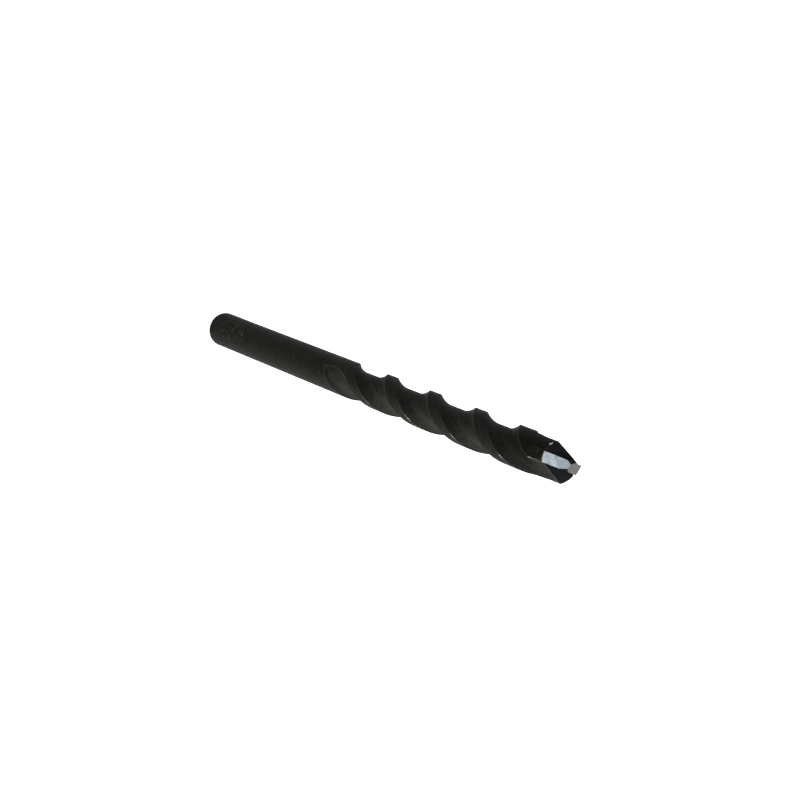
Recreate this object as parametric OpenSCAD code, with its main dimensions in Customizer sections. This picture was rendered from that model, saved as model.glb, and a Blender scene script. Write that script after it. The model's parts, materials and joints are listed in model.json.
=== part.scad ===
// Glass and tile drill bit: a fluted steel rod with a carbide plate brazed across its tip.
// The bit stands on the flat end of its shank. Z is its axis, with the cutting point up,
// and the carbide plate lies along X. It cuts turning counter-clockwise seen from the point.

/* [Rod] */
// Diameter of the ground rod, shank and lands alike
rod_d = 4.95; // [4:0.01:6.5]
// Length from the shank's end to the chisel edge
overall_l = 101.6; // [85:0.1:125]
// Chamfer round the shank's end
end_chamfer = 0.3; // [0.1:0.05:0.6]

/* [Flutes] */
// Length of the flutes, run-out included, back from the chisel edge
flute_l = 61.5; // [45:0.5:75]
// Advance of a flute in one turn
lead = 24; // [18:0.1:32]
// Width of a land between two flutes, in degrees
land_deg = 46; // [30:1:70]
// Diameter of the core left between the flutes
web_d = 3.36; // [2.8:0.02:3.9]
// Length in which a flute rises out of the rod at the shank side
runout_l = 8.5; // [4:0.1:14]
// Where across a flute its run-out reaches furthest, as a share of its width
runout_reach = 0.76; // [0.3:0.02:0.8]
// How much sooner the run-out rises a little to the side of there
runout_round = 1.5; // [0:0.1:4]
// How much sooner it rises at the flute's far side
runout_curl = 1.9; // [0:0.1:4]
// Growth of the lands' radius from the shank to the point, so that the rod runs free in its hole
back_taper = 0.02; // [0.01:0.005:0.05]
// Share of a flute's width taken by the curved wall under the cutting edge
face_share = 0.24; // [0.15:0.01:0.4]
// Share of a flute's width taken by the curved wall behind it
heel_share = 0.37; // [0.2:0.01:0.55]

/* [Head] */
// Length of the straight flutes beside the carbide plate
head_l = 6.2; // [5:0.1:9]
// Distance across the two flat head flutes
head_web_d = 3.04; // [2.6:0.02:3.6]
// How far a head flute bares the plate's side at the outside of the rod
lip_bite = 0.07; // [0:0.01:0.2]
// Length in which the helix straightens into the head
bend_l = 3.5; // [2:0.1:6]
// Length before the head in which the cutting edges fall back, so that the lands widen
widen_l = 14; // [6:0.5:20]

/* [Carbide plate] */
// How far the plate stands out of the rod at each side
plate_proud = 0.125; // [0.03:0.005:0.2]
// Thickness of the plate
plate_t = 1.24; // [0.9:0.02:1.5]
// Height of the plate, from the slot's floor to the chisel edge
plate_h = 5.6; // [4.5:0.05:6.5]
// Chamfer on the plate's lower corners
plate_chamfer = 0.25; // [0.1:0.05:0.5]
// Angle of the point
point_deg = 109; // [90:1:140]
// Clearance angle of the flanks behind the cutting lips
flank_deg = 14; // [6:1:25]
// How far a gash thins the plate beside the chisel edge
gash_in = 0.34; // [0.1:0.02:0.4]
// Length of a gash along the lip that it clears
gash_lip_l = 1.1; // [0.6:0.05:1.6]
// Length of a gash on the flank behind it
gash_heel_l = 0.55; // [0.3:0.05:1]
// Lean of a gash against the axis, so that it ends at the plate's side
gash_deg = 11; // [8:1:30]
// Thickness of the braze round the plate
braze_t = 0.08; // [0.04:0.01:0.15]

/* [Jaws] */
// Point angle ground on the steel jaws
jaw_point_deg = 171; // [130:1:176]
// Clearance angle of the steel jaws
jaw_flank_deg = 6; // [2:1:30]
// How far the jaws' point lies below the chisel edge
jaw_drop = 1.9; // [1.2:0.05:2.4]

/* [Hidden] */
$fn = 96;

rod_r = rod_d / 2;
plate_w = rod_d + 2 * plate_proud;
web_r = web_d / 2;
head_web_r = head_web_d / 2;
slot_w = plate_t + 2 * braze_t;
slot_floor_z = overall_l - plate_h - braze_t;
plate_floor_z = overall_l - plate_h;
cut_size = 4 * rod_d;

// A flat head flute starts at the lip, where it bares the plate, and is a chord of the rod
lip_deg = asin((plate_t / 2 - lip_bite) / rod_r);
head_half_deg = acos(head_web_r / rod_r);
head_mid_deg = lip_deg + head_half_deg;
flute_half_deg = (180 - land_deg) / 2;
head_z = overall_l - head_l;
flute_start_z = overall_l - flute_l;
runout_soft = 0.2;
taper_margin = 2;
taper_z = flute_start_z - taper_margin;

// Sections of a flute cutter: along the axis, and across the flute
turn_step_deg = 15;
sections = ceil(flute_l / lead * 360 / turn_step_deg);
across = 14;
edge_share = 0.06;

// A cutter reaches past the rod: at its two ends, at the top of its walls and at its back
cutter_over = 0.6;
wall_over = 0.4;
wall_top_r = rod_r + wall_over;
cutter_r = wall_top_r + wall_over;

function clamp01(t) = min(1, max(0, t));
function ease(t) = let(c = clamp01(t)) c * c * (3 - 2 * c);
function mix(a, b, t) = a + (b - a) * t;

// Share of the way from the helix into the straight head
function head_share(z) = ease((z - head_z + bend_l / 2) / bend_l);

// Turn left before the head: the helix slows to a stop across the bend
function bend_run(z) = let(t = clamp01((z - head_z + bend_l / 2) / bend_l)) bend_l * (t - t * t / 2);
function helix_run(z) = min(z, head_z - bend_l / 2) + bend_run(z) - head_z;
function flute_mid_deg(z) = head_mid_deg + helix_run(z) / lead * 360;

// Angles from a flute's middle: to its two edges, and to a share of its width
function widen_share(z) = ease((z - head_z + widen_l) / (widen_l / 2));
function face_half(z) = mix(flute_half_deg, head_half_deg, widen_share(z));
function heel_half(z) = mix(flute_half_deg, head_half_deg, head_share(z));
function flute_turn(s, z) = mix(-face_half(z), heel_half(z), s);

// Floor of a flute: the core's radius, with curved walls rising to both lands
function wall_rise(gap, share) = pow(max(0, gap) / share, 2);
function floor_r(s, core_r) =
    core_r + (rod_r - core_r) * (wall_rise(face_share - s, face_share)
                                 + wall_rise(s - 1 + heel_share, heel_share));
function head_floor_r(s, z) = head_web_r / cos(flute_turn(s, z));
function runout_left(z) = max(0, 1 - (z - flute_start_z) / runout_l);
function runout_off(s) = norm([2 * (s - runout_reach), runout_soft]) - runout_soft;
function runout_side(s) = 1 + runout_round * runout_off(s) + runout_curl * pow(runout_off(s), 4);
function runout_lift(s, z) = (rod_r - web_r) * runout_side(s) * pow(runout_left(z), 2);
function flute_r(s, z) =
    mix(floor_r(s, web_r) + runout_lift(s, z), head_floor_r(s, z), head_share(z));

function spread(i) = mix(-edge_share, 1 + edge_share, i / across);
function polar(r, a, z) = [r * cos(a), r * sin(a), z];
function flute_angle(s, z) = flute_mid_deg(z) + flute_turn(s, z);
function cutter_z(k) = mix(flute_start_z - cutter_over, overall_l + cutter_over, k / sections);
function cutter_ring(z) = concat(
    [for (i = [0 : across]) polar(min(flute_r(spread(i), z), wall_top_r), flute_angle(spread(i), z), z)],
    [for (i = [across : -1 : 0]) polar(cutter_r, flute_angle(spread(i), z), z)]);

// Skin over a stack of rings, each a row of floor points and the same row above it, closed by strips
function ring_count() = 2 * (across + 1);
function end_strip(first, flip) = [for (i = [0 : across - 1])
    let(strip = [i, i + 1, 2 * across - i, 2 * across + 1 - i])
    [for (j = [0 : 3]) first + strip[flip ? 3 - j : j]]];
function side_strips(rings) = [for (k = [0 : rings - 2], j = [0 : ring_count() - 1])
    let(low = k * ring_count(), high = low + ring_count(), next = (j + 1) % ring_count())
    [low + next, high + next, high + j, low + j]];
function skin_faces(rings) = concat(
    end_strip(0, true), side_strips(rings), end_strip((rings - 1) * ring_count(), false));

// One flute of the rod, as the space that its milling cutter sweeps
module flute_cutter() {
    ring_points = [for (k = [0 : sections]) each cutter_ring(cutter_z(k))];
    polyhedron(points = ring_points, faces = skin_faces(sections + 1));
}

// What lies above one flank: it falls outwards by the point angle and back from the lip by the clearance
module above_flank(point, clearance, top_z) {
    fall_out = 1 / tan(point / 2);
    fall_back = tan(clearance);
    tilt = acos(1 / norm([fall_out, fall_back, 1]));
    translate([0, 0, top_z])
        rotate(a = tilt, v = [fall_back, fall_out, 0])
            translate([-cut_size, -cut_size, 0])
                cube([2 * cut_size, 2 * cut_size, cut_size]);
}

module above_point(point, clearance, top_z) {
    for (turn = [0, 180])
        rotate([0, 0, turn])
            above_flank(point, clearance, top_z);
}

// The rod: a chamfered end, the plain shank, and the back taper from there to the point
module rod() {
    land_r = rod_r + back_taper;
    rotate_extrude()
        polygon([[0, 0], [rod_r - end_chamfer, 0], [rod_r, end_chamfer],
                 [rod_r, taper_z], [land_r, overall_l], [0, overall_l]]);
}

module drill_body() {
    color("dimgray")
        difference() {
            rod();
            for (turn = [0, 180])
                rotate([0, 0, turn])
                    flute_cutter();
            translate([-rod_d, -slot_w / 2, slot_floor_z])
                cube([2 * rod_d, slot_w, plate_h + cut_size]);
            above_point(jaw_point_deg, jaw_flank_deg, overall_l - jaw_drop);
        }
}

// Outline of the plate seen on its broad face
module plate_outline() {
    half_w = plate_w / 2;
    polygon([[-half_w + plate_chamfer, 0], [half_w - plate_chamfer, 0], [half_w, plate_chamfer],
             [half_w, plate_h], [-half_w, plate_h], [-half_w, plate_chamfer]]);
}

// A notch ground in from the plate's side to the chisel edge, which it shortens
module gash() {
    past = 3;
    gash_y = plate_t / 2 - gash_in;
    gash_x = gash_y * tan(flank_deg) * tan(point_deg / 2);
    translate([-gash_x, -gash_y, overall_l])
        rotate([-gash_deg, 0, 0])
            translate([0, 0, -plate_h])
                linear_extrude(2 * plate_h)
                    polygon([[0, 0], [-past * gash_lip_l, -past * gash_in],
                             [past * gash_heel_l, -past * gash_in]]);
}

module carbide_plate() {
    color("lightsteelblue")
        difference() {
            intersection() {
                translate([0, plate_t / 2, plate_floor_z])
                    rotate([90, 0, 0])
                        linear_extrude(plate_t)
                            plate_outline();
                translate([0, 0, plate_floor_z])
                    cylinder(d = plate_w, h = plate_h);
            }
            above_point(point_deg, flank_deg, overall_l);
            for (turn = [0, 180])
                rotate([0, 0, turn])
                    gash();
        }
}

// What the two flat head flutes leave open
module beside_head() {
    for (turn = [0, 180])
        rotate([0, 0, head_mid_deg + turn])
            translate([head_web_r, -cut_size, 0])
                cube([cut_size, 2 * cut_size, overall_l]);
}

// The braze fills the slot beside and under the plate, a little short of the jaws' outside
module braze_film() {
    film_r = rod_r - braze_t / 2;
    color("darkgoldenrod")
        difference() {
            intersection() {
                translate([-rod_d, -slot_w / 2, slot_floor_z])
                    cube([2 * rod_d, slot_w, plate_h]);
                translate([0, 0, slot_floor_z])
                    cylinder(r = film_r, h = plate_h);
            }
            translate([-rod_d, -plate_t / 2, plate_floor_z])
                cube([2 * rod_d, plate_t, plate_h + cut_size]);
            beside_head();
            above_point(jaw_point_deg, jaw_flank_deg, overall_l - jaw_drop - braze_t);
        }
}

drill_body();
carbide_plate();
braze_film();
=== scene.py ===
import json
import math

import bpy
import numpy as np
from mathutils import Matrix, Vector

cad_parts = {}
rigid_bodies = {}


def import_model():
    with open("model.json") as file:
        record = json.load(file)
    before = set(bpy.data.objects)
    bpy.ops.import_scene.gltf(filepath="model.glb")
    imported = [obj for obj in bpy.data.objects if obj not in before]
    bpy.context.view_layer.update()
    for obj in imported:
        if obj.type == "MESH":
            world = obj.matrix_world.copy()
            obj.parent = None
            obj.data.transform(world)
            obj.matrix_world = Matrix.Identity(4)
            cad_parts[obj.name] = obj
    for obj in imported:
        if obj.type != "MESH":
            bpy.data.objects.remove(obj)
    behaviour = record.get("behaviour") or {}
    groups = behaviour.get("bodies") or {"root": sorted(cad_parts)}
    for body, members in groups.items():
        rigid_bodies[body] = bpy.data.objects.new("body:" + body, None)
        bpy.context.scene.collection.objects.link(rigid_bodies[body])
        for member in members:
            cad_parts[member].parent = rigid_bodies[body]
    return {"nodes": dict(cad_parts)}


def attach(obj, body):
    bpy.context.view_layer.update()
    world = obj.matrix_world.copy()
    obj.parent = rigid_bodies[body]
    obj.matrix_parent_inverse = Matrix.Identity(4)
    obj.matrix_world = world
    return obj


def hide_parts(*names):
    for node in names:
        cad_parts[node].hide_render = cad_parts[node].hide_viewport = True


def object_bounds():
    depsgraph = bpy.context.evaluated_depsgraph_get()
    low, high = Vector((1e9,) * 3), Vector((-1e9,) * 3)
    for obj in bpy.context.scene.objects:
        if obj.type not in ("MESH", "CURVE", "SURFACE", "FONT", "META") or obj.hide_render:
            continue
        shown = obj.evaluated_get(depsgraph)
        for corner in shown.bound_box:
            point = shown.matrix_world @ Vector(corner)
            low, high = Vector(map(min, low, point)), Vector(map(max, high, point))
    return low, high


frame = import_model()
cadLow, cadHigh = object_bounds()
mm = 0.001
print("frame loaded:", sorted(frame["nodes"]))


# mesh helpers

def meshObject(name, verts, faces):
    mesh = bpy.data.meshes.new(name)
    mesh.from_pydata(verts.tolist(), [], faces)
    mesh.validate()
    mesh.update()
    piece = bpy.data.objects.new(name, mesh)
    bpy.context.scene.collection.objects.link(piece)
    return piece


def gridFaces(rows, cols):
    # quads between neighbouring rows of a grid whose columns close into rings
    r = np.arange(rows - 1)[:, None] * cols
    c = np.arange(cols)[None, :]
    n = (c + 1) % cols
    quads = np.stack([r + c, r + n, r + cols + n, r + cols + c], axis=-1)
    return quads.reshape(-1, 4).tolist()


def fanFaces(ring, pole, flip):
    # triangles from a ring of vertices to one pole
    a = ring
    b = np.roll(ring, -1)
    p = np.full_like(a, pole)
    tris = np.stack([b, a, p] if flip else [a, b, p], axis=-1)
    return tris.tolist()


def applyModifiers(piece):
    graph = bpy.context.evaluated_depsgraph_get()
    made = bpy.data.meshes.new_from_object(piece.evaluated_get(graph))
    piece.modifiers.clear()
    old = piece.data
    piece.data = made
    bpy.data.meshes.remove(old)


def pointsOf(piece):
    co = np.zeros(len(piece.data.vertices) * 3, np.float32)
    piece.data.vertices.foreach_get("co", co)
    return co.reshape(-1, 3).astype(float)


def addAttribute(piece, name, values):
    layer = piece.data.attributes.new(name, "FLOAT", "POINT")
    layer.data.foreach_set("value", np.ascontiguousarray(values, np.float32))


def ramp(value, low, high):
    # 0 at the low end and 1 at the high end, straight between them
    return np.clip((value - low) / (high - low), 0, 1)


def ease(t):
    # smooth step from 0 to 1, level at both ends
    return t * t * (3 - 2 * t)


def near(distance, reach):
    # 1 at no distance, falling off over the reach
    return np.exp(-(distance / reach) ** 2)


def crowded(count):
    # places from 0 to 1 that crowd towards both ends, by a half cosine
    return (0.5 - 0.5 * np.cos(np.linspace(0, np.pi, count + 1)))[None, :]


# the drill's own sizes, in millimetres and degrees; the length comes from the frame
drill = {
    "rodR": 2.475,
    "endChamfer": 0.3,
    "fluteLength": 61.5,
    "lead": 24.0,
    "landDeg": 46.0,
    "webR": 1.68,
    "runoutLength": 8.5,
    "runoutReach": 0.76,  # where the run-out's tip lies across the flute
    "runoutRound": 1.5,
    "runoutCurl": 1.9,
    "runoutSoft": 0.2,
    "backTaper": 0.0185,  # a hair under the source's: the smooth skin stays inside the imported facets
    "taperMargin": 2.0,
    "faceShare": 0.24,  # share of the flute's width that its cutting side's wall takes
    "heelShare": 0.37,
    "headLength": 6.2,
    "headWebR": 1.52,
    "bendLength": 3.5,
    "widenLength": 14.0,
    "plateThick": 1.24,
    "lipBite": 0.07,
    "slotWidth": 1.4,
    "slotDepth": 5.68,
    "jawPointDeg": 171.0,
    "jawFlankDeg": 6.0,
    "jawDrop": 1.9,
    "fluteColumns": 60,
    "landColumns": 16,
    "fluteStep": 0.13,
    "shankStep": 2.5,
    "rowGap": 0.15,
    "skinMargin": 0.4,  # the skin runs on past the point, and the cuts take this off
    "sharpDeg": 28.0,
}
drill["length"] = cadHigh.z / mm
drill["headZ"] = drill["length"] - drill["headLength"]
drill["startZ"] = drill["length"] - drill["fluteLength"]
drill["taperZ"] = drill["startZ"] - drill["taperMargin"]
drill["headHalfDeg"] = math.degrees(math.acos(drill["headWebR"] / drill["rodR"]))
drill["fluteHalfDeg"] = (180 - drill["landDeg"]) / 2
lipSine = (drill["plateThick"] / 2 - drill["lipBite"]) / drill["rodR"]
drill["headMidDeg"] = math.degrees(math.asin(lipSine)) + drill["headHalfDeg"]


def bendShare(z):
    # 0 where the helix starts to straighten, 1 where it runs straight
    half = drill["bendLength"] / 2
    return ramp(z, drill["headZ"] - half, drill["headZ"] + half)


def fluteMid(z):
    # angle of a flute's middle: a plain helix that slows to a stop across the bend
    t = bendShare(z)
    run = np.minimum(z, drill["headZ"] - drill["bendLength"] / 2)
    run = run + drill["bendLength"] * (t - t * t / 2) - drill["headZ"]
    return np.radians(drill["headMidDeg"] + run / drill["lead"] * 360)


def halfAngle(share):
    # half a flute's width as an angle, from the helix's at 0 to the head's at 1
    return np.radians(drill["fluteHalfDeg"] * (1 - share) + drill["headHalfDeg"] * share)


def faceHalf(z):
    # angle from a flute's middle to its cutting edge, which falls back before the head
    low = drill["headZ"] - drill["widenLength"]
    return halfAngle(ease(ramp(z, low, low + drill["widenLength"] / 2)))


def heelHalf(z):
    # angle from a flute's middle to its heel edge, which changes across the bend
    return halfAngle(ease(bendShare(z)))


def fluteTurn(s, z):
    # angle from a flute's middle: at the cutting edge where s is 0, at the heel edge where it is 1
    return s * heelHalf(z) - (1 - s) * faceHalf(z)


def landRadius(z):
    # the shank's radius, growing evenly towards the point
    return drill["rodR"] + drill["backTaper"] * ramp(z, drill["taperZ"], drill["length"])


def fluteRadius(s, z):
    # core radius with a square-law wall at each side, easing into a flat at the head; the run-out lifts
    # it by the square of what is left of its length, more towards the flute's two sides
    deep = landRadius(z) - drill["webR"]
    face = np.maximum(0, drill["faceShare"] - s) / drill["faceShare"]
    heel = np.maximum(0, s - 1 + drill["heelShare"]) / drill["heelShare"]
    left = np.maximum(0, 1 - (z - drill["startZ"]) / drill["runoutLength"])
    off = np.hypot(2 * (s - drill["runoutReach"]), drill["runoutSoft"]) - drill["runoutSoft"]
    side = 1 + drill["runoutRound"] * off + drill["runoutCurl"] * off ** 4
    helical = drill["webR"] + deep * (face ** 2 + heel ** 2 + side * left ** 2)
    flat = drill["headWebR"] / np.cos(fluteTurn(s, z))
    share = ease(bendShare(z))
    return np.minimum(helical * (1 - share) + flat * share, landRadius(z))


def rodSkin():
    # radius over angle and height: the columns follow the two flutes and two lands round the helix
    z0, z1 = drill["startZ"], drill["length"] + drill["skinMargin"]
    gap = drill["rowGap"]
    shankZ = np.linspace(drill["endChamfer"], z0 - 2 * gap, round(z0 / drill["shankStep"]))
    fluteZ = np.linspace(z0 - gap, z1, round((z1 - z0) / drill["fluteStep"]))
    z = np.concatenate([shankZ, fluteZ])[:, None]
    turnZ = np.maximum(z, z0)
    s = crowded(drill["fluteColumns"])
    u = crowded(drill["landColumns"])[:, 1:-1]
    mid, face, heel = fluteMid(turnZ), faceHalf(turnZ), heelHalf(turnZ)
    fluteAngle = mid + fluteTurn(s, turnZ)
    fluteR = np.where(z < z0, landRadius(z), fluteRadius(s, z))
    landAngle = mid + heel + u * (np.pi - heel - face)
    landR = np.broadcast_to(landRadius(z), landAngle.shape)
    sideAngle = np.concatenate([fluteAngle, landAngle], axis=1)
    sideR = np.concatenate([fluteR, landR], axis=1)
    angle = np.concatenate([sideAngle, sideAngle + np.pi], axis=1)
    radius = np.concatenate([sideR, sideR], axis=1)
    x, y = radius * np.cos(angle), radius * np.sin(angle)
    return np.stack([x, y, np.broadcast_to(z, x.shape)], axis=-1)


def rodPiece():
    # the skin closed by a chamfered flat end below and a flat cap above, which the point's cuts take away
    skin = rodSkin()
    rows, cols = skin.shape[:2]
    inner = (drill["rodR"] - drill["endChamfer"]) / drill["rodR"]
    foot = skin[0] * [inner, inner, 0]
    rings = np.concatenate([foot[None] * [0.5, 0.5, 1], foot[None], skin])
    verts = rings.reshape(-1, 3)
    poles = np.array([[0, 0, 0], [0, 0, skin[-1, 0, 2]]])
    verts = np.concatenate([verts, poles])
    faces = gridFaces(rows + 2, cols)
    low = np.arange(cols)
    faces += fanFaces(low, len(verts) - 2, True)
    faces += fanFaces(low + (rows + 1) * cols, len(verts) - 1, False)
    return meshObject("drillBody", verts * mm, faces)


def cutterBlock(name, corner, sides):
    # block spanned by three side vectors from one corner
    ends = np.array([[i, j, k] for k in (0, 1) for j in (0, 1) for i in (0, 1)], float)
    verts = np.array(corner) + ends @ np.array(sides)
    faces = [(0, 2, 3, 1), (4, 5, 7, 6), (0, 1, 5, 4), (2, 6, 7, 3), (0, 4, 6, 2), (1, 3, 7, 5)]
    return meshObject(name, verts * mm, faces)


def slotCutter():
    reach = 2 * drill["rodR"]
    w, floorZ = drill["slotWidth"], drill["length"] - drill["slotDepth"]
    return cutterBlock("slotCutter", (-reach, -w / 2, floorZ), np.diag([2 * reach, w, 3 * reach]))


def pointFalls(pointDeg, flankDeg):
    # drop per millimetre outwards along a lip, and backwards from it
    return 1 / math.tan(math.radians(pointDeg / 2)), math.tan(math.radians(flankDeg))


def flankCutter(side):
    # all that lies above a plane falling outwards by the point angle and back by the clearance
    fallOut, fallBack = pointFalls(drill["jawPointDeg"], drill["jawFlankDeg"])
    reach = 3 * drill["rodR"]
    along, across = np.array([1, 0, -side * fallOut]), np.array([0, 1, side * fallBack])
    corner = np.array([0, 0, drill["length"] - drill["jawDrop"]]) - reach * (along + across)
    sides = [2 * reach * along, 2 * reach * across, np.array([0, 0, 6 * reach])]
    return cutterBlock("flankCutter", corner, sides)


body = rodPiece()
cutters = [slotCutter(), flankCutter(1), flankCutter(-1)]
for cutter in cutters:
    cut = body.modifiers.new(cutter.name, "BOOLEAN")
    cut.operation = "DIFFERENCE"
    cut.solver = "EXACT"
    cut.object = cutter
applyModifiers(body)
for cutter in cutters:
    bpy.data.objects.remove(cutter)
body.data.set_sharp_from_angle(angle=math.radians(drill["sharpDeg"]))
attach(body, "root")
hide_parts("drill_body")
print("drill body:", len(body.data.vertices), "points")


# the camera: found from the photograph's perspective, with the bit's point towards it
lens = {
    "tiltDeg": 61.4,
    "rollDeg": 21.75,
    "targetY": 0.083,
    "targetZ": 59.1,
    "distance": 303.5,
    "focal": 107.2,
    "sensor": 36.0,
    "clipNear": 0.005,
    "clipFar": 10.0,
}
tilt, roll = math.radians(lens["tiltDeg"]), math.radians(lens["rollDeg"])
toCamera = Vector((math.cos(tilt), 0, math.sin(tilt)))
towardsTip = Vector((-math.sin(tilt), 0, math.cos(tilt)))
sideways = Vector((0, 1, 0))
camRight = math.cos(roll) * towardsTip - math.sin(roll) * sideways
camUp = -math.sin(roll) * towardsTip - math.cos(roll) * sideways
camPlace = (Vector((0, lens["targetY"], lens["targetZ"])) + lens["distance"] * toCamera) * mm
camData = bpy.data.cameras.new("photoCamera")
camData.lens = lens["focal"]
camData.sensor_width = lens["sensor"]
camData.clip_start = lens["clipNear"]
camData.clip_end = lens["clipFar"]
camera = bpy.data.objects.new("photoCamera", camData)
turn = Matrix((camRight, camUp, toCamera)).transposed()
camera.matrix_world = Matrix.Translation(camPlace) @ turn.to_4x4()
bpy.context.scene.collection.objects.link(camera)
bpy.context.scene.camera = camera
print("camera set")


# shader helpers

def setInput(tree, socket, value):
    # links the socket to another one, or sets a plain value on it
    if isinstance(value, bpy.types.NodeSocket):
        tree.links.new(value, socket)
    else:
        socket.default_value = value


def addNode(tree, kind, links=None, **settings):
    # a node with its settings, and its inputs linked to sockets or set to values
    node = tree.nodes.new(kind)
    for key, value in settings.items():
        setattr(node, key, value)
    for key, value in (links or {}).items():
        setInput(tree, node.inputs[key], value)
    return node


def mixColour(tree, factor, a, b):
    node = addNode(tree, "ShaderNodeMix", {"Factor": factor}, data_type="RGBA")
    setInput(tree, node.inputs[6], a)
    setInput(tree, node.inputs[7], b)
    return node.outputs[2]


def maths(tree, operation, a, b=0.0, clamp=False):
    return addNode(tree, "ShaderNodeMath", {0: a, 1: b}, operation=operation, use_clamp=clamp).outputs[0]


def times(tree, a, b):
    return maths(tree, "MULTIPLY", a, b)


def remap(tree, value, low, high, toLow=0.0, toHigh=1.0):
    links = {"Value": value, "From Min": low, "From Max": high, "To Min": toLow, "To Max": toHigh}
    return addNode(tree, "ShaderNodeMapRange", links, interpolation_type="SMOOTHSTEP").outputs[0]


def axes(tree, vector):
    return addNode(tree, "ShaderNodeSeparateXYZ", {0: vector}).outputs


def attribute(tree, name, output):
    return addNode(tree, "ShaderNodeAttribute", attribute_name=name).outputs[output]


def useGroup(tree, group, links):
    return addNode(tree, "ShaderNodeGroup", links, node_tree=group).outputs["Value"]


def newMaterial(name):
    material = bpy.data.materials.new(name)
    material.use_nodes = True
    tree = material.node_tree
    return material, tree, tree.nodes["Principled BSDF"]


def addBump(tree, shader, height, finish):
    links = {"Height": height, "Strength": finish["bump"], "Distance": finish["bumpDepth"] * mm}
    bump = addNode(tree, "ShaderNodeBump", links)
    tree.links.new(bump.outputs["Normal"], shader.inputs["Normal"])


def seenRays(tree):
    # 1 for rays from the camera and for those that metal and glass send on
    rays = tree.nodes.new("ShaderNodeLightPath").outputs
    seen = maths(tree, "MAXIMUM", rays["Is Camera Ray"], rays["Is Glossy Ray"])
    return maths(tree, "MAXIMUM", seen, rays["Is Transmission Ray"])


# the stage: a white floor that keeps a soft shadow, a white surround and soft studio lamps
studio = {
    "floorHalf": 1.5,
    "floorColour": (0.8, 0.8, 0.8, 1),
    "floorRoughness": 0.9,
    "floorLift": 0.75,
    "surround": (1, 1, 1, 1),
    "fillLevel": 0.13,
    "aimZ": 0.06,
}
lamps = [
    {"name": "lowSide", "place": (0.04, 0.42, 0.16), "size": 0.35, "watts": 4.4},
    {"name": "overhead", "place": (0.25, 0.10, 0.55), "size": 0.5, "watts": 2.0},
    {"name": "behind", "place": (-0.30, -0.35, 0.30), "size": 0.5, "watts": 1.4},
]


def floorMaterial():
    material, tree, shader = newMaterial("whiteFloor")
    shader.inputs["Base Color"].default_value = studio["floorColour"]
    shader.inputs["Roughness"].default_value = studio["floorRoughness"]
    shader.inputs["Specular IOR Level"].default_value = 0.0
    shader.inputs["Emission Color"].default_value = studio["surround"]
    lift = times(tree, seenRays(tree), studio["floorLift"])
    tree.links.new(lift, shader.inputs["Emission Strength"])
    return material


def makeSurround():
    world = bpy.data.worlds.new("studioSurround")
    bpy.context.scene.world = world
    world.use_nodes = True
    tree = world.node_tree
    surround = tree.nodes["Background"]
    surround.inputs["Color"].default_value = studio["surround"]
    level = remap(tree, seenRays(tree), 0, 1, studio["fillLevel"], 1.0)
    tree.links.new(level, surround.inputs["Strength"])


def makeLamp(lamp):
    data = bpy.data.lights.new(lamp["name"], "AREA")
    data.shape = "DISK"
    data.size = lamp["size"]
    data.energy = lamp["watts"]
    light = bpy.data.objects.new(lamp["name"], data)
    place = Vector(lamp["place"])
    light.location = place
    light.rotation_euler = (Vector((0, 0, studio["aimZ"])) - place).to_track_quat("-Z", "Y").to_euler()
    bpy.context.scene.collection.objects.link(light)


h = studio["floorHalf"]
corners = np.array([[-h, -h, 0], [h, -h, 0], [h, h, 0], [-h, h, 0]])
floor = meshObject("studioFloor", corners, [(0, 1, 2, 3)])
floor.data.materials.append(floorMaterial())
makeSurround()
for lamp in lamps:
    makeLamp(lamp)
bpy.context.scene.view_settings.view_transform = "Standard"
print("stage set")


# shader groups shared by the finishes

def newGroup(name, inputs):
    # a group with the given inputs and one value as its output
    group = bpy.data.node_groups.new(name, "ShaderNodeTree")
    for label, kind, value in inputs:
        socket = group.interface.new_socket(label, in_out="INPUT", socket_type=kind)
        if value is not None:
            socket.default_value = value
    group.interface.new_socket("Value", in_out="OUTPUT", socket_type="NodeSocketFloat")
    return group, group.nodes.new("NodeGroupInput").outputs, group.nodes.new("NodeGroupOutput").inputs


def mottleGroup():
    # soft mottling from 0 to 1: two sizes of noise added
    inputs = [("Vector", "NodeSocketVector", None), ("Scale", "NodeSocketFloat", 1.0)]
    group, given, result = newGroup("mottle", inputs)
    links = {"Vector": given["Vector"], "Scale": given["Scale"], "Detail": 3.0}
    broad = addNode(group, "ShaderNodeTexNoise", links).outputs["Fac"]
    links["Scale"] = times(group, given["Scale"], 4.3)
    fine = addNode(group, "ShaderNodeTexNoise", links).outputs["Fac"]
    group.links.new(remap(group, maths(group, "ADD", broad, fine), 0.6, 1.4), result["Value"])
    return group


def linesGroup():
    # fine lines from 0 to 1: noise drawn out along one direction by a stretch of its coordinates
    inputs = [("Vector", "NodeSocketVector", None), ("Stretch", "NodeSocketVector", None)]
    group, given, result = newGroup("lines", inputs)
    links = {0: given["Vector"], 1: given["Stretch"]}
    drawn = addNode(group, "ShaderNodeVectorMath", links, operation="MULTIPLY").outputs[0]
    links = {"Vector": drawn, "Scale": 1.0, "Detail": 2.0}
    noise = addNode(group, "ShaderNodeTexNoise", links).outputs["Fac"]
    group.links.new(remap(group, noise, 0.32, 0.68), result["Value"])
    return group


mottle, lines = mottleGroup(), linesGroup()


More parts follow.
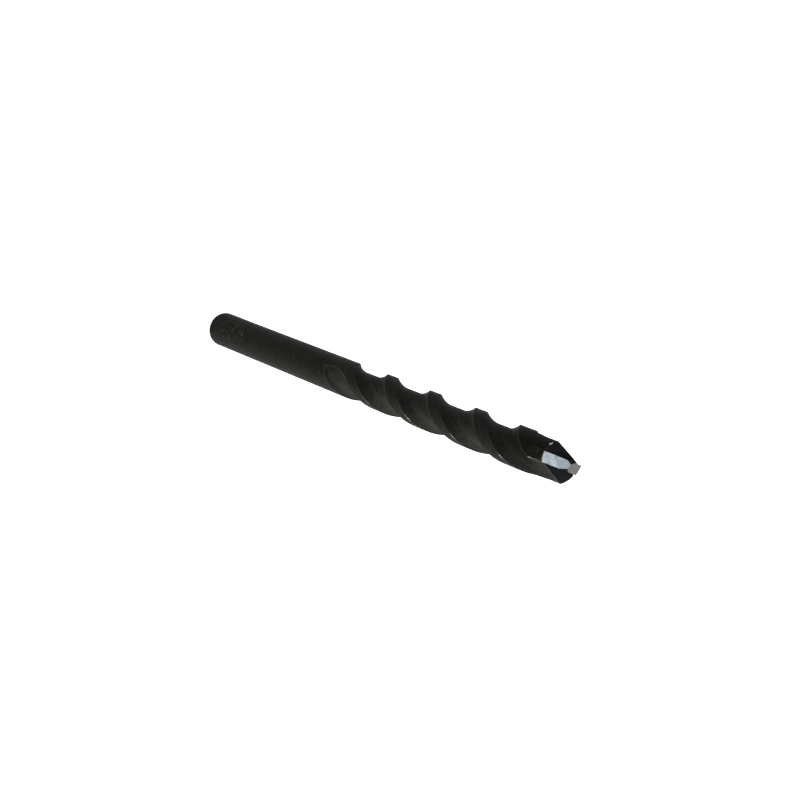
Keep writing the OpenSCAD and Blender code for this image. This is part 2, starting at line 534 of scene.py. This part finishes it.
# where the rod is scuffed, and where highlights are painted on it, in millimetres and degrees round its
# axis
wearAndHighlights = {
    "edgeReach": 0.07,
    "edgeStart": 2.0,  # the edges' lines fade in from here past the flutes' start, over edgeGrow
    "edgeGrow": 5.0,
    "heelLeast": 0.2,
    "faceLevel": 0.28,
    "faceLeast": 0.2,
    "faceFade": 9.0,
    "brimLevel": 0.8,
    "brimDepth": (0.002, 0.012, 0.03, 0.08),  # depths between which the run-outs' brims fade in and out
    "brimEnd": 7.0,
    "brimFade": 3.0,
    # the jaws' pale lines below are painted highlights
    "rimReach": 0.16,
    "rimSpread": 0.3,  # added reach on the low side
    "rimLevel": 0.5,
    "rimGain": 0.4,
    "highlightLevel": 0.66,
    "highlightDeg": 48.0,
    "highlightWidth": 13.0,
    "highlightFar": 0.8,  # the painted highlights half a turn away are weaker
    "glintLevel": 1.3,
    "glintDeg": -42.0,
    "glintWidth": 6.0,
    "glintReach": 0.2,
    "glintDepth": 0.02,
    "scuffDeg": -5.0,
    "scuffWidth": 42.0,
    "scuffHeights": (3.0, 6.0, 9.0, 13.0),  # heights between which the scuffs fade in and out
}


def inAndOut(value, stops):
    # 0 up to the first stop, 1 between the middle two, 0 again from the last
    return ramp(value, stops[0], stops[1]) * ramp(value, stops[3], stops[2])


def bodyAttributes(piece):
    # the helix turned straight and the depth below the lands; masks for the pale lines along the flutes'
    # edges, partly edge scrapes and partly painted highlight, for the painted highlights on the brims of
    # their run-outs and the jaws' borders, for the scuffs near the shank's end, and for painted
    # highlights: bright spots on the heel edges and a glint
    x, y, z = pointsOf(piece).T / mm
    r, angle = np.hypot(x, y), np.arctan2(y, x)
    startZ, headZ = drill["startZ"], drill["headZ"]
    turnZ = np.maximum(z, startZ)
    mid, face, heel = fluteMid(turnZ), faceHalf(turnZ), heelHalf(turnZ)
    across = (angle - mid + np.pi / 2) % np.pi - np.pi / 2
    atFace = near(np.abs(across + face) * r, wearAndHighlights["edgeReach"])
    atHeel = near(np.abs(across - heel) * r, wearAndHighlights["edgeReach"])
    depth = landRadius(z) - r
    degrees = np.degrees(angle)
    # the low side, towards the low lamp: highlights are painted brighter there
    lowSide = ramp(y, 0, drill["rodR"])

    begun = ramp(z, startZ + wearAndHighlights["edgeStart"], startZ + wearAndHighlights["edgeStart"] + wearAndHighlights["edgeGrow"])
    # painted highlight: the heel edges' pale lines are painted brighter on the low side; the face edges'
    # faint lines are partly scrapes
    heelSide = wearAndHighlights["heelLeast"] + (1 - wearAndHighlights["heelLeast"]) * lowSide
    faceSide = wearAndHighlights["faceLevel"] * np.maximum(ramp(z, headZ, headZ - wearAndHighlights["faceFade"]), wearAndHighlights["faceLeast"])
    edges = np.maximum(atFace * faceSide, atHeel * heelSide) * begun
    # painted highlight: a pale line along the brims of the run-outs
    brimHighlight = inAndOut(depth, wearAndHighlights["brimDepth"]) * (across > -face) * (across < heel)
    brimHighlight = brimHighlight * ramp(z, startZ + wearAndHighlights["brimEnd"], startZ + wearAndHighlights["brimEnd"] - wearAndHighlights["brimFade"])

    fallOut, fallBack = pointFalls(drill["jawPointDeg"], drill["jawFlankDeg"])
    below = drill["length"] - drill["jawDrop"] - np.abs(fallOut * x - fallBack * y) - z
    # painted highlight: a pale line along the jaws' borders, wider and brighter on the low side
    rimHighlight = near(below, wearAndHighlights["rimReach"] + wearAndHighlights["rimSpread"] * lowSide)
    rimHighlight = rimHighlight * (wearAndHighlights["rimLevel"] + wearAndHighlights["rimGain"] * lowSide)
    # painted highlight: a glint on one jaw's border, near its heel corner
    glint = near(below - wearAndHighlights["rimReach"], wearAndHighlights["glintReach"]) * (depth < wearAndHighlights["glintDepth"])
    glint = glint * near(degrees - wearAndHighlights["glintDeg"], wearAndHighlights["glintWidth"])
    # painted highlights: bright spots on the heel edges, at the angles where the low lamp would catch
    # them
    lit = near(degrees - wearAndHighlights["highlightDeg"], wearAndHighlights["highlightWidth"])
    lit = lit + wearAndHighlights["highlightFar"] * near(degrees + 180 - wearAndHighlights["highlightDeg"], wearAndHighlights["highlightWidth"])
    paintedHighlight = wearAndHighlights["highlightLevel"] * atHeel * begun * lit + wearAndHighlights["glintLevel"] * glint
    scuffed = near(degrees - wearAndHighlights["scuffDeg"], wearAndHighlights["scuffWidth"]) * inAndOut(z, wearAndHighlights["scuffHeights"])

    addAttribute(piece, "edge", np.maximum(edges, wearAndHighlights["brimLevel"] * brimHighlight))
    addAttribute(piece, "paintedHighlight", np.clip(paintedHighlight, 0, 1))
    addAttribute(piece, "scuffed", scuffed)
    addAttribute(piece, "rimHighlight", rimHighlight)
    addAttribute(piece, "depth", depth)
    straight = np.stack([r * np.cos(angle - mid), r * np.sin(angle - mid), z], axis=-1)
    layer = piece.data.attributes.new("unwound", "FLOAT_VECTOR", "POINT")
    layer.data.foreach_set("vector", np.ascontiguousarray(straight, np.float32).ravel())


# black oxide on the rod: grainy and neutral on the shank and lands, olive to teal in the flutes, darkened
# by heat at the head and bluish on the jaws, with pale lines along its edges that are partly scrapes and
# partly painted highlight, scuffs, and painted highlights: bright spots and a glint
oxide = {
    "plain": (0.0062, 0.0062, 0.0050, 1),
    "land": (0.0084, 0.0087, 0.0066, 1),
    "olive": (0.0112, 0.0112, 0.0080, 1),
    "teal": (0.0165, 0.0190, 0.0168, 1),
    "dark": (0.0036, 0.0036, 0.0030, 1),
    "blued": (0.0118, 0.0124, 0.0131, 1),
    "speck": (0.025, 0.025, 0.0235, 1),
    "scuff": (0.16, 0.16, 0.14, 1),
    # pale line colour: partly scrapes, partly painted highlight
    "line": (0.085, 0.090, 0.078, 1),
    # painted highlight colour for the bright spots and the glint
    "highlightWhite": (0.88, 0.88, 0.84, 1),
    "grainScale": 1.7,
    "cloudScale": 0.3,
    "helixStretch": (4.2, 4.2, 0.16),
    "turnStretch": (0.5, 0.5, 6.0),
    "fluteDepth": (0.03, 0.3),
    "landGrow": 5.0,
    "streaks": 0.65,  # share of lines, not clouds, in the flutes' tint
    "hollowAt": (0.45, 0.1),
    "hollowShare": (0.7, 0.5),  # on the lands and in the flutes
    "speckAt": (0.55, 0.95),
    "speckShare": 0.5,
    "groundShare": 0.16,
    "scuffAt": (0.8, 0.95),
    "heatedFrom": 17.6,  # millimetres below the point
    "heatedTo": 5.6,
    "heatedShare": 0.85,
    "uprightAt": (0.5, 0.2),
    "lineShare": 0.5,
    "lineLeast": 0.25,
    "brokenShare": 0.45,
    "highlightAt": (0.72, 1.05),
    "roughness": (0.38, 0.58),
    "specular": 0.004,
    "bump": 0.35,
    "bumpDepth": 0.04,
}


def blackOxide():
    material, tree, shader = newMaterial("blackOxide")
    unwound = attribute(tree, "unwound", "Vector")
    masks = ("depth", "edge", "paintedHighlight", "rimHighlight", "scuffed")
    depth, edge, paintedHighlight, rimHighlight, scuffed = (attribute(tree, name, "Fac") for name in masks)
    coords = tree.nodes.new("ShaderNodeTexCoord").outputs
    upright = remap(tree, axes(tree, coords["Normal"])["Z"], *oxide["uprightAt"])
    height = axes(tree, unwound)["Z"]
    grain = useGroup(tree, mottle, {"Vector": unwound, "Scale": oxide["grainScale"]})
    cloud = useGroup(tree, mottle, {"Vector": unwound, "Scale": oxide["cloudScale"]})
    helixLines = useGroup(tree, lines, {"Vector": unwound, "Stretch": oxide["helixStretch"]})
    turnLines = useGroup(tree, lines, {"Vector": unwound, "Stretch": oxide["turnStretch"]})

    # the shank, the lands and the flutes
    inFlute = remap(tree, depth, *oxide["fluteDepth"])
    fluted = remap(tree, height, drill["startZ"], drill["startZ"] + oxide["landGrow"])
    streaks = times(tree, helixLines, oxide["streaks"])
    tint = maths(tree, "ADD", times(tree, cloud, 1 - oxide["streaks"]), streaks)
    fluteColour = mixColour(tree, tint, oxide["olive"], oxide["teal"])
    colour = mixColour(tree, fluted, oxide["plain"], oxide["land"])
    colour = mixColour(tree, inFlute, colour, fluteColour)

    # the grain's dark hollows and pale specks, and fine grinding lines: round the shank, along the lands
    hollow = remap(tree, grain, *oxide["hollowAt"])
    hollow = times(tree, hollow, remap(tree, inFlute, 0, 1, *oxide["hollowShare"]))
    colour = mixColour(tree, hollow, colour, oxide["dark"])
    groundLines = mixColour(tree, fluted, turnLines, helixLines)
    groundLines = times(tree, maths(tree, "SUBTRACT", 1.0, inFlute), groundLines)
    speck = times(tree, remap(tree, grain, *oxide["speckAt"]), oxide["speckShare"])
    speck = maths(tree, "ADD", speck, times(tree, groundLines, oxide["groundShare"]), clamp=True)
    colour = mixColour(tree, speck, colour, oxide["speck"])
    scuff = times(tree, scuffed, remap(tree, grain, *oxide["scuffAt"]))
    colour = mixColour(tree, scuff, colour, oxide["scuff"])

    # the heated head and the jaws' upward faces
    heatedZ = (drill["length"] - oxide["heatedFrom"], drill["length"] - oxide["heatedTo"])
    heated = remap(tree, height, *heatedZ, 0.0, oxide["heatedShare"])
    colour = mixColour(tree, heated, colour, oxide["dark"])
    colour = mixColour(tree, upright, oxide["blued"], colour)

    # pale lines along the edges and rims, partly scrapes and partly painted highlight, and painted
    # highlights: bright spots and a glint
    pale = maths(tree, "MAXIMUM", edge, times(tree, rimHighlight, upright))
    pale = times(tree, pale, oxide["lineShare"])
    pale = times(tree, pale, remap(tree, cloud, 0.2, 0.7, oxide["lineLeast"], 1.0))
    colour = mixColour(tree, pale, colour, oxide["line"])
    # painted highlights: the bright spots and the glint, broken up by the grain
    broken = maths(tree, "ADD", paintedHighlight, times(tree, grain, oxide["brokenShare"]))
    highlighted = times(tree, remap(tree, broken, *oxide["highlightAt"]), upright)
    colour = mixColour(tree, highlighted, colour, oxide["highlightWhite"])

    tree.links.new(colour, shader.inputs["Base Color"])
    tree.links.new(remap(tree, grain, 0, 1, *oxide["roughness"]), shader.inputs["Roughness"])
    shader.inputs["Specular IOR Level"].default_value = oxide["specular"]
    relief = maths(tree, "ADD", times(tree, helixLines, inFlute), grain)
    addBump(tree, shader, relief, oxide)
    return material


bodyAttributes(body)
body.data.materials.clear()
body.data.materials.append(blackOxide())
print("body finish set")


# carbide: ground and mottled on its upward flanks, with painted light: the flank facing +x painted bright
# and bluish as lit, the other painted grey as in shade; near black and speckled where it is left as
# sintered, partly painted shade, with a smear of braze under the top edges of its outer ends
carbide = {
    # painted light: the lit flank's colours, then the shaded flank's
    "bright": (0.64, 0.72, 0.78, 1),
    "dull": (0.27, 0.315, 0.355, 1),
    "grey": (0.175, 0.170, 0.176, 1),
    "shadowed": (0.120, 0.117, 0.119, 1),
    # near black: the dark grey of as-sintered carbide darkened as painted shade
    "sintered": (0.0040, 0.0040, 0.0034, 1),
    "speck": (0.22, 0.22, 0.20, 1),
    "smear": (0.20, 0.11, 0.035, 1),
    "pointDeg": 109.0,
    "flankDeg": 14.0,
    "mottleScale": 1400.0,
    "grainScale": 2600.0,
    "groundAt": (0.3, 0.5),
    "litFrom": 0.2,  # millimetres out from the axis; the painted lit flank is duller near the chisel edge
    "litTo": 1.6,
    "litLeast": 0.3,
    "speckAt": (0.88, 0.97),
    "smearFrom": 0.25,  # millimetres below the flanks
    "smearTo": 0.05,
    "endAt": (0.75, 0.9),
    "roughness": (0.6, 0.42),  # as sintered and as ground
    "specular": 0.01,
    "bump": 0.3,
    "bumpDepth": 0.02,
}


def groundCarbide():
    material, tree, shader = newMaterial("groundCarbide")
    coords = tree.nodes.new("ShaderNodeTexCoord").outputs
    facing, place = axes(tree, coords["Normal"]), axes(tree, coords["Object"])
    mottled = useGroup(tree, mottle, {"Vector": coords["Object"], "Scale": carbide["mottleScale"]})
    grain = useGroup(tree, mottle, {"Vector": coords["Object"], "Scale": carbide["grainScale"]})

    # the two ground flanks: the one facing +x painted lit and bluish, the other painted shaded
    litX = (carbide["litFrom"] * mm, carbide["litTo"] * mm)
    # painted light: lit and shaded copies of the ground finish, chosen by which way the flank faces
    outward = remap(tree, place["X"], *litX, carbide["litLeast"], 1.0)
    litFlank = mixColour(tree, times(tree, mottled, outward), carbide["dull"], carbide["bright"])
    shadedFlank = mixColour(tree, mottled, carbide["shadowed"], carbide["grey"])
    flank = mixColour(tree, remap(tree, facing["X"], -0.1, 0.1), shadedFlank, litFlank)

    # the faces left as sintered, painted near black as shade with pale specks, and the smear on the outer
    # ends
    specks = remap(tree, grain, *carbide["speckAt"])
    rawFace = mixColour(tree, specks, carbide["sintered"], carbide["speck"])
    fallOut, fallBack = pointFalls(carbide["pointDeg"], carbide["flankDeg"])
    fall = maths(tree, "SUBTRACT", times(tree, place["X"], fallOut), times(tree, place["Y"], fallBack))
    high = maths(tree, "ADD", maths(tree, "ABSOLUTE", fall), place["Z"])
    smearZ = (cadHigh.z - carbide["smearFrom"] * mm, cadHigh.z - carbide["smearTo"] * mm)
    atEnd = remap(tree, maths(tree, "ABSOLUTE", facing["X"]), *carbide["endAt"])
    smear = times(tree, remap(tree, high, *smearZ), atEnd)
    rawFace = mixColour(tree, smear, rawFace, carbide["smear"])

    ground = remap(tree, facing["Z"], *carbide["groundAt"])
    tree.links.new(mixColour(tree, ground, rawFace, flank), shader.inputs["Base Color"])
    tree.links.new(remap(tree, ground, 0, 1, *carbide["roughness"]), shader.inputs["Roughness"])
    shader.inputs["Specular IOR Level"].default_value = carbide["specular"]
    addBump(tree, shader, grain, carbide)
    return material


# braze: golden, darkened in patches by the heat
braze = {
    "gold": (0.24, 0.18, 0.09, 1),
    "scorched": (0.012, 0.010, 0.007, 1),
    "patchScale": 900.0,
    "goldAt": (0.55, 0.95),
    "roughness": (0.55, 0.32),  # scorched and golden
    "specular": 0.05,
    "bump": 0.4,
    "bumpDepth": 0.03,
}


def goldenBraze():
    material, tree, shader = newMaterial("goldenBraze")
    coords = tree.nodes.new("ShaderNodeTexCoord").outputs
    patches = useGroup(tree, mottle, {"Vector": coords["Object"], "Scale": braze["patchScale"]})
    golden = remap(tree, patches, *braze["goldAt"])
    tree.links.new(mixColour(tree, golden, braze["scorched"], braze["gold"]), shader.inputs["Base Color"])
    tree.links.new(golden, shader.inputs["Metallic"])
    tree.links.new(remap(tree, patches, 0, 1, *braze["roughness"]), shader.inputs["Roughness"])
    shader.inputs["Specular IOR Level"].default_value = braze["specular"]
    addBump(tree, shader, patches, braze)
    return material


for node, made in (("carbide_plate", groundCarbide()), ("braze_film", goldenBraze())):
    piece = frame["nodes"][node]
    piece.data.materials.clear()
    piece.data.materials.append(made)
print("finishes set")
